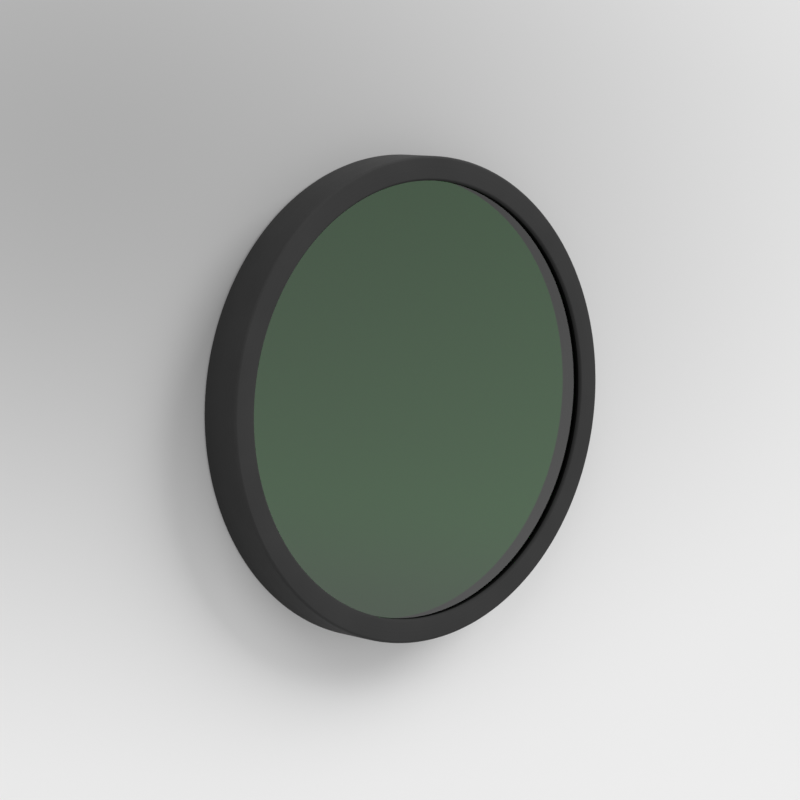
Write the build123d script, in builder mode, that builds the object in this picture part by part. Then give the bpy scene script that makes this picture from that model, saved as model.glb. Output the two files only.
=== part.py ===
from build123d import *
import os

# Round mounted bandpass filter: a coated glass plate held in a thin, threadless round cell
# that drops into a filter wheel. Units are millimetres. The optical axis is +Z, the origin is
# the centre of the rear face, and the front face looks up.

# Cell, turned from one piece of aluminium
OUTER_DIAMETER = 50.0
LIP_WIDTH = 2.5
LIP_THICKNESS = 0.6
FRONT_EDGE_RADIUS = 0.3
REAR_EDGE_CHAMFER = 0.25
POCKET_WALL = 1.4
REAR_RECESS = 0.45

# Glass plate, loose in its pocket by the clearance all round
GLASS_THICKNESS = 3.0
GLASS_CHAMFER = 0.15
GLASS_CLEARANCE = 0.1

# Thread between the cell and the retaining ring, modelled at its mean diameter. In the cell it
# runs on past the glass's rear face, so that the ring can always be screwed up tight
THREAD_WALL = 1.24
THREAD_CLEARANCE = 0.02
THREAD_CHAMFER = 0.3
THREAD_OVERRUN = 0.3

# Retaining ring with its spanner slots
RING_WIDTH = 0.9
RING_THICKNESS = 0.95
RING_CHAMFER = 0.1
SLOT_COUNT = 2
SLOT_WIDTH = 1.2
SLOT_DEPTH = 0.5

# Heights, built up from the rear face
ring_rear_z = REAR_RECESS
glass_rear_z = ring_rear_z + RING_THICKNESS
thread_end_z = glass_rear_z + THREAD_OVERRUN
seat_z = glass_rear_z + GLASS_THICKNESS
cell_height = seat_z + LIP_THICKNESS

# Radii, worked inwards from the outer wall
outer_radius = OUTER_DIAMETER / 2
aperture_radius = outer_radius - LIP_WIDTH
pocket_radius = outer_radius - POCKET_WALL
glass_radius = pocket_radius - GLASS_CLEARANCE
thread_radius = outer_radius - THREAD_WALL
ring_outer_radius = thread_radius - THREAD_CLEARANCE
ring_inner_radius = ring_outer_radius - RING_WIDTH

os.makedirs("parts", exist_ok=True)


# Cell: front lip, glass pocket and the bore of the female thread
with BuildPart() as cell:
    with BuildSketch(Plane.XZ):
        with BuildLine():
            Polyline(
                (thread_radius, 0),
                (outer_radius, 0),
                (outer_radius, cell_height),
                (aperture_radius, cell_height),
                (aperture_radius, seat_z),
                (pocket_radius, seat_z),
                (pocket_radius, thread_end_z),
                (thread_radius, thread_end_z),
                close=True,
            )
        make_face()
    revolve(axis=Axis.Z)

    rims = cell.edges().filter_by(GeomType.CIRCLE)
    front_rims = rims.group_by(Axis.Z)[-1]
    rear_rims = rims.group_by(Axis.Z)[0].sort_by(SortBy.RADIUS)
    thread_mouth = rear_rims[0]
    outer_rear_rim = rear_rims[-1]
    fillet(front_rims, radius=FRONT_EDGE_RADIUS)
    chamfer(outer_rear_rim, length=REAR_EDGE_CHAMFER)
    chamfer(thread_mouth, length=THREAD_CHAMFER)

cell.part.label = "cell"
export_step(cell.part, "parts/cell.step")


# Glass plate: ground to size, with a small protective chamfer on both edges
with BuildPart() as filter_glass:
    with BuildSketch(Plane.XY.offset(glass_rear_z)):
        Circle(glass_radius)
    extrude(amount=GLASS_THICKNESS)
    chamfer(filter_glass.edges().filter_by(GeomType.CIRCLE), length=GLASS_CHAMFER)

filter_glass.part.label = "filter_glass"
export_step(filter_glass.part, "parts/filter_glass.step")


# Retaining ring: threaded outside, with spanner slots across its rear face
with BuildPart() as retaining_ring:
    with BuildSketch(Plane.XY.offset(ring_rear_z)):
        Circle(ring_outer_radius)
        Circle(ring_inner_radius, mode=Mode.SUBTRACT)
    extrude(amount=RING_THICKNESS)

    ring_edges = retaining_ring.edges().filter_by(GeomType.CIRCLE)
    inner_rear_edge = ring_edges.group_by(SortBy.RADIUS)[0].sort_by(Axis.Z)[0]
    outer_edges = ring_edges.group_by(SortBy.RADIUS)[-1]
    chamfer([inner_rear_edge] + outer_edges, length=RING_CHAMFER)

    # Each slot is cut twice as long as the ring is wide, so that it clears both curved walls
    ring_middle_radius = (ring_inner_radius + ring_outer_radius) / 2
    with BuildSketch(Plane.XY.offset(ring_rear_z)):
        with PolarLocations(ring_middle_radius, SLOT_COUNT):
            Rectangle(2 * RING_WIDTH, SLOT_WIDTH)
    extrude(amount=SLOT_DEPTH, mode=Mode.SUBTRACT)

retaining_ring.part.label = "retaining_ring"
export_step(retaining_ring.part, "parts/retaining_ring.step")

print(f"height {cell_height:.2f} mm, outer diameter {OUTER_DIAMETER:.2f} mm")
print(f"clear aperture {2 * aperture_radius:.2f} mm, glass {2 * glass_radius:.2f} mm")
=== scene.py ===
import math

import bmesh
import bpy
from mathutils import Matrix, Quaternion, Vector


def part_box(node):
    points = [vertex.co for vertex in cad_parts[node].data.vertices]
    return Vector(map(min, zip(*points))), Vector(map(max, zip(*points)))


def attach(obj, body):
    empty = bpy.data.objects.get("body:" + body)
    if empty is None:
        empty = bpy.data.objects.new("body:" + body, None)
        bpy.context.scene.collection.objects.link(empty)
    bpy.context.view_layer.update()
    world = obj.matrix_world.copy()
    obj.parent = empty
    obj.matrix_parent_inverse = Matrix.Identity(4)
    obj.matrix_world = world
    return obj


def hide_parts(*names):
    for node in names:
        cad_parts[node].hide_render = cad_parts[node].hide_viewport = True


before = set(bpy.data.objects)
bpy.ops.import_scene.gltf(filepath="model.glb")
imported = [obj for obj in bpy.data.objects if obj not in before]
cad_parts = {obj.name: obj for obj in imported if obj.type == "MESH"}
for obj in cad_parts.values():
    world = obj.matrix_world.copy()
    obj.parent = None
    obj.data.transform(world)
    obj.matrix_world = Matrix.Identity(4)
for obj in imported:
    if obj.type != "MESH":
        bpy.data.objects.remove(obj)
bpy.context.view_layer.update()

MM = 0.001

# Sizes that the frame gives
cell_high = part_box("cell")[1]
glass_low, glass_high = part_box("filter_glass")
ring_low, ring_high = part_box("retaining_ring")
outer_radius = cell_high.x
height = cell_high.z
glass_radius = glass_high.x
ring_radius = ring_high.x

# Sizes that are the same as in the solids
LIP_WIDTH = 2.5 * MM
FRONT_EDGE_RADIUS = 0.3 * MM
REAR_EDGE_CHAMFER = 0.25 * MM
GLASS_CLEARANCE = 0.1 * MM
GLASS_CHAMFER = 0.15 * MM
THREAD_CLEARANCE = 0.02 * MM
THREAD_CHAMFER = 0.3 * MM
THREAD_OVERRUN = 0.3 * MM
RING_WIDTH = 0.9 * MM
RING_CHAMFER = 0.1 * MM
SLOT_WIDTH = 1.2 * MM
SLOT_DEPTH = 0.5 * MM

# Sizes of the fine forms that the solids leave out
THREAD_PITCH = 0.5 * MM
THREAD_DEPTH = 0.27 * MM
THREAD_FADE = 0.2 * MM
THREAD_LEAD = 0.16 * MM
EDGE_BREAK = 0.05 * MM

# Flats of the female thread, as shares of its pitch
THREAD_CREST = 1 / 8
THREAD_ROOT = 1 / 4

# Gap that keeps the faces of two pieces that touch from falling together
SEAT_GAP = 0.005 * MM

# Linear colours, and the share by which some of them vary in soft clouds
ANODISED = (0.0375, 0.0375, 0.0375)
RING_BLACK = (0.012, 0.012, 0.012)
BORE_BLACK = (0.003, 0.003, 0.003)
GROUND_TINT = (0.006, 0.006, 0.006)
GLASS_TINT = (0.002, 0.077, 0.003)
ANODISED_CLOUDS = 0.05
BORE_CLOUDS = 0.2
GROUND_CLOUDS = 0.1
CLOUD_SIZE = 6.0 * MM

# Share of its tone that the black keeps where its inner rounding meets the bore, as painted shade on
# that rounding
BORE_EDGE_SHADE_SHARE = 0.7

# Gloss, with the lowest and highest roughness of each surface
ANODISED_SPECULAR = 0.12
BORE_SPECULAR = 0.08
GROUND_SPECULAR = 0.1
CELL_ROUGHNESS = (0.55, 0.65)
RING_ROUGHNESS = (0.45, 0.55)
BORE_ROUGHNESS = (0.7, 0.85)
GROUND_ROUGHNESS = (0.5, 0.8)

# Glass with its coatings. The rear one leaves a fifth of the reflection
GLASS_IOR = 1.52
COATING_IOR = 1.5
REAR_REFLECTION = (0.2, 0.2, 0.2)
COATING_WAVE = 9.0 * MM
COATING_WAVE_DEPTH = 0.0004 * MM

# Turning marks, blasted grain and ground glass
TURNING_FEED = 0.18 * MM
TURNING_DEPTH = 0.0015 * MM
BORE_TURNING_DEPTH = 2 * TURNING_DEPTH
GRAIN_SIZE = 0.11 * MM
GRAIN_DEPTH = 0.003 * MM
GROUND_DEPTH = 0.012 * MM

# Levels of detail in each random pattern, and the values that most of a pattern lies between
TURNING_DETAIL = 2.0
GRAIN_DETAIL = 3.0
GROUND_DETAIL = 4.0
CLOUD_DETAIL = 2.0
WAVE_DETAIL = 1.0
PATTERN_RANGE = (0.3, 0.7)

# Floor. Its tone holds painted shade: darkest at one place, it rises to the pale tone over the two
# falls.
# The pale tone itself changes along X, as painted light, from one end of its reach to the other
FLOOR_SIZE = 6.0
FLOOR_ROUGHNESS = 0.8
FLOOR_SHADE_DARK = 0.42
FLOOR_SHADE_PLACE = (-20 * MM, -43 * MM)
FLOOR_FALL_X = 66 * MM
FLOOR_FALL_Y = 130 * MM
FLOOR_PALE = (0.725, 0.855)
FLOOR_PALE_REACH = 40 * MM

# Share of the floor's look to the camera that is its plain tone, without light and shadow
FLOOR_GLOW = 0.2

# The glass shows the floor's plain tone, with a painted shadow that dims it to a share of itself
# along X
SEEN_SHADOW_START = 9 * MM
SEEN_SHADOW_END = 25 * MM
SEEN_SHADOW_SHARE = 0.4

# Even light from all round, and the tone of the backdrop
WORLD_LIGHT = 0.54
BACKDROP_TONE = 0.78

# Softbox that the glass mirrors. Its glow changes between two places along it
SOFTBOX_DIRECTION = Vector((0.0, 0.676, 0.737))
SOFTBOX_DISTANCE = 0.55
SOFTBOX_SIZE = 0.24
SOFTBOX_FALL = (-49 * MM, 65 * MM)
SOFTBOX_GLOW = (0.915, 0.66)

# Two large square lamps, the stronger of which throws the shadow
KEY_DIRECTION = Vector((-0.7, 0.55, 0.42))
KEY_WATTS = 9.0
FILL_DIRECTION = Vector((-0.75, -0.6, 0.45))
FILL_WATTS = 2.7
LAMP_DISTANCE = 1.0
LAMP_SIZE = 0.6

# Camera, at the photograph's viewing angle
CAMERA_PLACE = Vector((0, -210.72, 231.02)) * MM
CAMERA_AIM = Vector((0.237, -3.545, 5.0)) * MM
CAMERA_LENS = 136.0
CAMERA_ROLL = math.radians(97.76)

# How finely the forms are divided, and how their points are merged and their edges shaded
SEGMENTS = 480
ARC_STEPS = 8
THREAD_ROWS = 16
MERGE_DISTANCE = 1e-8
SHARP_ANGLE = math.radians(24)

# Radii and heights worked out from these sizes
aperture_radius = outer_radius - LIP_WIDTH
pocket_radius = glass_radius + GLASS_CLEARANCE
thread_radius = ring_radius + THREAD_CLEARANCE
thread_end = glass_low.z + THREAD_OVERRUN
ring_front = ring_high.z - SEAT_GAP


# Turned forms

def rounded(corners):
    """Points along an outline of (radius, z, rounding) corners, with an arc at each rounded one."""
    points = []
    for index, (radius, z, rounding) in enumerate(corners):
        corner = Vector((radius, z))
        if rounding == 0:
            points.append(corner)
            continue
        before = (Vector(corners[index - 1][:2]) - corner).normalized()
        after = (Vector(corners[index + 1][:2]) - corner).normalized()
        half = before.angle(after) / 2
        centre = corner + (before + after).normalized() * rounding / math.sin(half)
        start = (corner + before * rounding / math.tan(half) - centre).normalized()
        end = (corner + after * rounding / math.tan(half) - centre).normalized()
        for step in range(ARC_STEPS + 1):
            points.append(centre + start.slerp(end, step / ARC_STEPS) * rounding)
    return points


def circle(radius, z):
    """One row of points round the optical axis."""
    turns = [2 * math.pi * i / SEGMENTS for i in range(SEGMENTS)]
    return [Vector((radius * math.cos(a), radius * math.sin(a), z)) for a in turns]


def turned(bm, outline):
    """Faces swept round the axis by an outline. An end of the outline may lie on the axis."""
    rows = [[bm.verts.new(p) for p in circle(r, z)] for r, z in outline]
    for low, high in zip(rows, rows[1:]):
        for i in range(SEGMENTS):
            j = (i + 1) % SEGMENTS
            bm.faces.new((low[i], low[j], high[j], high[i]))


def thread_form(phase):
    """Radius of the female thread, from its crest to its root and back over one pitch."""
    flank = (1 - THREAD_CREST - THREAD_ROOT) / 2
    if phase < THREAD_CREST:
        share = 0
    elif phase < THREAD_CREST + flank:
        share = (phase - THREAD_CREST) / flank
    elif phase < THREAD_CREST + flank + THREAD_ROOT:
        share = 1
    else:
        share = (1 - phase) / flank
    return thread_radius + THREAD_DEPTH * (share - 0.5)


def threaded(bm, low_z, high_z, radius_at):
    """Faces of a threaded wall. Its rows climb with the thread, one pitch a turn, held between two
    heights, where the wall has to be round. The last point of a row falls on another row's first."""
    count = math.ceil((high_z - low_z) / THREAD_PITCH + 1) * THREAD_ROWS
    rows = []
    for k in range(count + 1):
        row = []
        for i in range(SEGMENTS + 1):
            turn = i / SEGMENTS
            climbed = low_z + (k / THREAD_ROWS - 1 + turn) * THREAD_PITCH
            z = min(max(climbed, low_z), high_z)
            radius = radius_at(z, k % THREAD_ROWS / THREAD_ROWS)
            angle = 2 * math.pi * turn
            row.append(bm.verts.new((radius * math.cos(angle), radius * math.sin(angle), z)))
        rows.append(row)
    for low, high in zip(rows, rows[1:]):
        for i in range(SEGMENTS):
            bm.faces.new((low[i], low[i + 1], high[i + 1], high[i]))


def new_object(name, data):
    """An object in the scene that shows this data."""
    made = bpy.data.objects.new(name, data)
    bpy.context.scene.collection.objects.link(made)
    return made


def finished(name, bm):
    """A smooth mesh object with sharp edges where the form has them."""
    bmesh.ops.remove_doubles(bm, verts=bm.verts, dist=MERGE_DISTANCE)
    bmesh.ops.dissolve_degenerate(bm, dist=MERGE_DISTANCE, edges=bm.edges)
    bmesh.ops.recalc_face_normals(bm, faces=bm.faces)
    mesh = bpy.data.meshes.new(name)
    bm.to_mesh(mesh)
    bm.free()
    mesh.shade_smooth()
    mesh.set_sharp_from_angle(angle=SHARP_ANGLE)
    return new_object(name, mesh)


# The cell

def female_radius(z, phase):
    """Radius of the cell's threaded wall: the mouth's chamfer cuts the thread, which fades out
    at its far end."""
    mouth = thread_radius + THREAD_CHAMFER - z
    fade = min((thread_end - z) / THREAD_FADE, 1)
    thread = thread_radius + (thread_form(phase) - thread_radius) * fade
    return max(mouth, thread)


def make_cell():
    """The mount, turned in one piece, with its lip, seat, pocket and thread."""
    seat = glass_high.z + SEAT_GAP
    bm = bmesh.new()
    turned(bm, rounded([
        (thread_radius + THREAD_CHAMFER, 0, 0),
        (outer_radius - REAR_EDGE_CHAMFER, 0, EDGE_BREAK),
        (outer_radius, REAR_EDGE_CHAMFER, EDGE_BREAK),
        (outer_radius, height, FRONT_EDGE_RADIUS),
        (aperture_radius, height, FRONT_EDGE_RADIUS),
        (aperture_radius, seat, 0),
        (pocket_radius, seat, 0),
        (pocket_radius, thread_end, 0),
        (thread_radius, thread_end, 0),
    ]))
    threaded(bm, 0, thread_end, female_radius)
    return finished("cell_body", bm)


# The glass

def make_glass():
    """The plate. A row of points halfway out keeps the faces of its two flat sides shorter."""
    halfway = aperture_radius / 2
    bm = bmesh.new()
    turned(bm, rounded([
        (0, glass_low.z, 0),
        (halfway, glass_low.z, 0),
        (glass_radius - GLASS_CHAMFER, glass_low.z, 0),
        (glass_radius, glass_low.z + GLASS_CHAMFER, 0),
        (glass_radius, glass_high.z - GLASS_CHAMFER, 0),
        (glass_radius - GLASS_CHAMFER, glass_high.z, 0),
        (halfway, glass_high.z, 0),
        (0, glass_high.z, 0),
    ]))
    return finished("filter_plate", bm)


# The retaining ring

def male_radius(z, phase):
    """Radius of the ring's threaded wall, in mesh with the cell's and chamfered at both ends."""
    edge = min(z - ring_low.z, ring_front - z) + ring_radius - THREAD_LEAD
    return min(thread_form(phase) - THREAD_CLEARANCE, edge)


def slot_cutter():
    """One bar through the axis, half of it in the ring, which cuts both spanner slots."""
    bm = bmesh.new()
    size = Vector((2 * outer_radius, SLOT_WIDTH, 2 * SLOT_DEPTH))
    place = Matrix.Translation((0, 0, ring_low.z)) @ Matrix.Diagonal(size).to_4x4()
    bmesh.ops.create_cube(bm, size=1, matrix=place)
    return finished("slot_cutter", bm)


def cut_slots(ring):
    """Cuts the spanner slots into the ring's mesh."""
    cutter = slot_cutter()
    cut = ring.modifiers.new("slots", "BOOLEAN")
    cut.object = cutter
    cut.operation = "DIFFERENCE"
    cut.solver = "EXACT"
    graph = bpy.context.evaluated_depsgraph_get()
    ring.data = bpy.data.meshes.new_from_object(ring.evaluated_get(graph))
    ring.modifiers.clear()
    ring.data.set_sharp_from_angle(angle=SHARP_ANGLE)
    bpy.data.objects.remove(cutter)


def make_ring():
    """The threaded ring that holds the glass in its pocket."""
    inner = ring_radius - RING_WIDTH
    lead = ring_radius - THREAD_LEAD
    bm = bmesh.new()
    turned(bm, rounded([
        (lead, ring_low.z, 0),
        (inner + RING_CHAMFER, ring_low.z, 0),
        (inner, ring_low.z + RING_CHAMFER, 0),
        (inner, ring_front, 0),
        (lead, ring_front, 0),
    ]))
    threaded(bm, ring_low.z, ring_front, male_radius)
    ring = finished("threaded_retainer", bm)
    cut_slots(ring)
    return ring


# Nodes

def feed(tree, node, inputs):
    """Gives a node its inputs, each as a value or as another node's output to link."""
    for name, value in inputs.items():
        if isinstance(value, bpy.types.NodeSocket):
            tree.links.new(value, node.inputs[name])
        else:
            node.inputs[name].default_value = value


def add(tree, kind, inputs=None, **settings):
    """A new node with its settings and inputs."""
    made = tree.nodes.new("ShaderNode" + kind)
    for name, setting in settings.items():
        setattr(made, name, setting)
    feed(tree, made, inputs or {})
    return made


def place_on(tree):
    """The place on the surface, in the frame of its object."""
    return add(tree, "TexCoord").outputs["Object"]


def coordinate(tree, place, axis):
    """One coordinate of a place."""
    return add(tree, "SeparateXYZ", {0: place}).outputs[axis]


def length(tree, vector):
    """Length of a vector."""
    return add(tree, "VectorMath", {0: vector}, operation="LENGTH").outputs["Value"]


def axis_distance(tree, place):
    """How far a place is from the optical axis."""
    across = add(tree, "VectorMath", {0: place, 1: (1, 1, 0)}, operation="MULTIPLY").outputs[0]
    return length(tree, across)


def between(tree, value, start, end, low, high, shape="LINEAR"):
    """Goes from low to high while a value goes from start to end, and no further."""
    made = add(tree, "MapRange", {"Value": value, "From Min": start, "From Max": end,
                                  "To Min": low, "To Max": high}, interpolation_type=shape)
    return made.outputs[0]


def pattern(tree, place, size, detail):
    """Random pattern with features of about one size."""
    made = add(tree, "TexNoise", {"Vector": place, "Scale": 1 / size, "Detail": detail})
    return made.outputs["Fac"]


def relief(tree, shape, depth, coarser=None):
    """Normal of a surface with fine relief, which may lie over a coarser one."""
    made = add(tree, "Bump", {"Height": shape, "Strength": 1.0, "Distance": depth})
    if coarser is not None:
        feed(tree, made, {"Normal": coarser})
    return made.outputs[0]


def clouded(tree, place, colour, share):
    """The colour, a little darker and lighter in soft clouds."""
    ramp = add(tree, "ValToRGB", {"Fac": pattern(tree, place, CLOUD_SIZE, CLOUD_DETAIL)})
    low, high = ramp.color_ramp.elements
    low.position, high.position = PATTERN_RANGE
    low.color = [c * (1 - share) for c in colour] + [1]
    high.color = [c * (1 + share) for c in colour] + [1]
    return ramp.outputs["Color"]


# Materials

def material(name, inputs):
    """A material with one Principled shader, and what is the same all over it set on its inputs."""
    made = bpy.data.materials.new(name)
    made.use_nodes = True
    tree = made.node_tree
    shader = tree.nodes["Principled BSDF"]
    feed(tree, shader, inputs)
    return made, tree, shader


def fine_surface(tree, shader, place, radius, turning, roughness):
    """Turning marks that run round the axis under a fine blasted grain, as bump and roughness."""
    along = add(tree, "Math", {0: radius, 1: coordinate(tree, place, "Z")}).outputs[0]
    marks = add(tree, "TexNoise", {"W": along, "Scale": 1 / TURNING_FEED,
                                   "Detail": TURNING_DETAIL}, noise_dimensions="1D").outputs["Fac"]
    grain = pattern(tree, place, GRAIN_SIZE, GRAIN_DETAIL)
    feed(tree, shader, {
        "Normal": relief(tree, grain, GRAIN_DEPTH, relief(tree, marks, turning)),
        "Roughness": between(tree, marks, *PATTERN_RANGE, *roughness),
    })


def black_anodised(name, colour, roughness):
    """Matte black, with painted shade that darkens its inner rounding towards the bore."""
    made, tree, shader = material(name, {"Specular IOR Level": ANODISED_SPECULAR})
    place = place_on(tree)
    radius = axis_distance(tree, place)
    fine_surface(tree, shader, place, radius, TURNING_DEPTH, roughness)
    # Painted shade: the tone falls to a share of itself over the inner rounding, towards the bore.
    share = between(tree, radius, aperture_radius, aperture_radius + FRONT_EDGE_RADIUS,
                    BORE_EDGE_SHADE_SHARE, 1)
    tone = add(tree, "VectorMath", {0: clouded(tree, place, colour, ANODISED_CLOUDS),
                                    "Scale": share}, operation="SCALE")
    feed(tree, shader, {"Base Color": tone.outputs[0]})
    return made


def bore_black():
    """Near-black on the bore wall, much darker than the anodised face."""
    made, tree, shader = material("bore_black", {"Specular IOR Level": BORE_SPECULAR})
    place = place_on(tree)
    fine_surface(tree, shader, place, axis_distance(tree, place), BORE_TURNING_DEPTH,
                 BORE_ROUGHNESS)
    feed(tree, shader, {"Base Color": clouded(tree, place, BORE_BLACK, BORE_CLOUDS)})
    return made


def polished_glass(name, inputs):
    """A polished face of the plate, which lets green through."""
    return material(name, {"Base Color": (*GLASS_TINT, 1), "Roughness": 0.0, "IOR": GLASS_IOR,
                           "Transmission Weight": 1.0, **inputs})


def waves(tree):
    """The faint unevenness of a polished face, as a bump."""
    return relief(tree, pattern(tree, place_on(tree), COATING_WAVE, WAVE_DETAIL),
                  COATING_WAVE_DEPTH)


def glass_front():
    """Front face, under a coating that reflects all colours alike."""
    made, tree, shader = polished_glass("coated_glass", {
        "Coat Weight": 1.0, "Coat Roughness": 0.0, "Coat IOR": COATING_IOR})
    feed(tree, shader, {"Coat Normal": waves(tree)})
    return made


def glass_rear():
    """Rear face, under a coating that keeps it from reflecting."""
    made, tree, shader = polished_glass("antireflection_glass", {
        "Specular Tint": (*REAR_REFLECTION, 1)})
    feed(tree, shader, {"Normal": waves(tree)})
    return made


def ground_edge():
    """The plate's edge and chamfers, fine ground and blackened."""
    made, tree, shader = material("blackened_glass_edge", {"Specular IOR Level": GROUND_SPECULAR})
    place = place_on(tree)
    grain = pattern(tree, place, GRAIN_SIZE, GROUND_DETAIL)
    feed(tree, shader, {
        "Normal": relief(tree, grain, GROUND_DEPTH),
        "Roughness": between(tree, grain, 0, 1, *GROUND_ROUGHNESS),
        "Base Color": clouded(tree, place, GROUND_TINT, GROUND_CLOUDS),
    })
    return made


def dress(piece, materials, pick=lambda face: 0):
    """Gives a piece its materials, and each face the one whose number the test picks."""
    for made in materials:
        piece.data.materials.append(made)
    for face in piece.data.polygons:
        face.material_index = int(pick(face))


def in_bore(face):
    """1 on the wall of the bore, 0 elsewhere on the cell."""
    return face.center.xy.length < aperture_radius


def glass_side(face):
    """0 on the front face, 1 on the rear face, 2 on the ground edge with its chamfers."""
    if face.center.xy.length > glass_radius - GLASS_CHAMFER:
        return 2
    return face.normal.z < 0


# Pieces

cell = make_cell()
glass = make_glass()
ring = make_ring()

dress(cell, [black_anodised("black_anodised", ANODISED, CELL_ROUGHNESS), bore_black()], in_bore)
dress(glass, [glass_front(), glass_rear(), ground_edge()], glass_side)
dress(ring, [black_anodised("ring_black", RING_BLACK, RING_ROUGHNESS)])

for piece, node, slot in (
    (cell, "cell", "black_anodised"),
    (glass, "filter_glass", "coated_glass"),
    (ring, "retaining_ring", "ring_black"),
):
    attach(piece, "root")
    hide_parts(node)


# Studio

def square(name, side):
    """A flat square round its own origin."""
    bm = bmesh.new()
    bmesh.ops.create_grid(bm, x_segments=1, y_segments=1, size=side / 2)
    return finished(name, bm)


def floor_tone_with_painted_shade(tree, place, x):
    """Tone with painted shade: the soft fall-off of a studio sweep's light round its darkest place,
    and paler along X.
    """
    dark_x, dark_y = FLOOR_SHADE_PLACE
    shifted = add(tree, "Mapping", {
        "Vector": place, "Location": (-dark_x / FLOOR_FALL_X, -dark_y / FLOOR_FALL_Y, 0),
        "Scale": (1 / FLOOR_FALL_X, 1 / FLOOR_FALL_Y, 0)}).outputs[0]
    pale = between(tree, x, -FLOOR_PALE_REACH, FLOOR_PALE_REACH, *FLOOR_PALE)
    return between(tree, length(tree, shifted), 0, 1, FLOOR_SHADE_DARK, pale, "SMOOTHSTEP")


def floor_material():
    """Pale floor, with painted shade in its tone. The glass shows it as pale as it is in the open,
    with a painted shadow that dims it towards the side that the shadow falls on."""
    made, tree, shader = material("studio_floor", {"Roughness": FLOOR_ROUGHNESS,
                                                   "Specular IOR Level": 0.0})
    place = place_on(tree)
    x = coordinate(tree, place, "X")
    tone = floor_tone_with_painted_shade(tree, place, x)
    feed(tree, shader, {"Base Color": tone})

    rays = add(tree, "LightPath").outputs
    # Painted shadow: what the glass shows of the floor dims along X, towards the side the shadow
    # falls on.
    painted_shadow = between(tree, x, SEEN_SHADOW_START, SEEN_SHADOW_END, 1, SEEN_SHADOW_SHARE, "SMOOTHSTEP")
    strength = between(tree, rays["Is Transmission Ray"], 0, 1, 1, painted_shadow)
    seen = add(tree, "Emission", {"Color": tone, "Strength": strength})
    share = add(tree, "Math", {0: rays["Is Camera Ray"], 1: FLOOR_GLOW,
                               2: rays["Is Transmission Ray"]}, operation="MULTIPLY_ADD")
    surface = add(tree, "MixShader", {0: share.outputs[0], 1: shader.outputs[0],
                                      2: seen.outputs[0]})
    feed(tree, tree.nodes["Material Output"], {"Surface": surface.outputs[0]})
    return made


def softbox_material():
    """Glow that changes evenly along the softbox."""
    made = bpy.data.materials.new("softbox")
    made.use_nodes = True
    tree = made.node_tree
    tree.nodes.clear()
    x = coordinate(tree, place_on(tree), "X")
    glow = add(tree, "Emission", {"Strength": between(tree, x, *SOFTBOX_FALL, *SOFTBOX_GLOW)})
    add(tree, "OutputMaterial", {"Surface": glow.outputs[0]})
    return made


def stand_off(thing, direction, distance):
    """Puts a thing at a distance from the filter in a direction, with its -Z towards the filter."""
    thing.rotation_mode = "QUATERNION"
    thing.rotation_quaternion = (-direction).to_track_quat("-Z", "Y")
    thing.location = direction.normalized() * distance


def make_floor():
    floor = square("studio_floor", FLOOR_SIZE)
    dress(floor, [floor_material()])


def make_softbox():
    softbox = square("softbox", SOFTBOX_SIZE)
    dress(softbox, [softbox_material()])
    stand_off(softbox, SOFTBOX_DIRECTION, SOFTBOX_DISTANCE)
    softbox.visible_camera = False


def make_lamp(name, direction, watts):
    """A square area lamp that faces the filter. The glass doesn't mirror its bright face."""
    data = bpy.data.lights.new(name, "AREA")
    data.size = LAMP_SIZE
    data.energy = watts
    lamp = new_object(name, data)
    stand_off(lamp, direction, LAMP_DISTANCE)
    lamp.visible_glossy = False


def make_world():
    """Even light from all round, and a pale backdrop that only the camera sees."""
    world = bpy.data.worlds.new("studio")
    world.use_nodes = True
    tree = world.node_tree
    is_camera = add(tree, "LightPath").outputs["Is Camera Ray"]
    feed(tree, tree.nodes["Background"], {
        "Color": (1, 1, 1, 1),
        "Strength": between(tree, is_camera, 0, 1, WORLD_LIGHT, BACKDROP_TONE),
    })
    bpy.context.scene.world = world


def make_camera():
    data = bpy.data.cameras.new("camera")
    data.lens = CAMERA_LENS
    camera = new_object("camera", data)
    level = (CAMERA_AIM - CAMERA_PLACE).to_track_quat("-Z", "Y")
    camera.rotation_mode = "QUATERNION"
    camera.rotation_quaternion = level @ Quaternion((0, 0, 1), CAMERA_ROLL)
    camera.location = CAMERA_PLACE
    bpy.context.scene.camera = camera


make_floor()
make_softbox()
make_lamp("key", KEY_DIRECTION, KEY_WATTS)
make_lamp("fill", FILL_DIRECTION, FILL_WATTS)
make_world()
make_camera()
bpy.context.scene.view_settings.view_transform = "Standard"
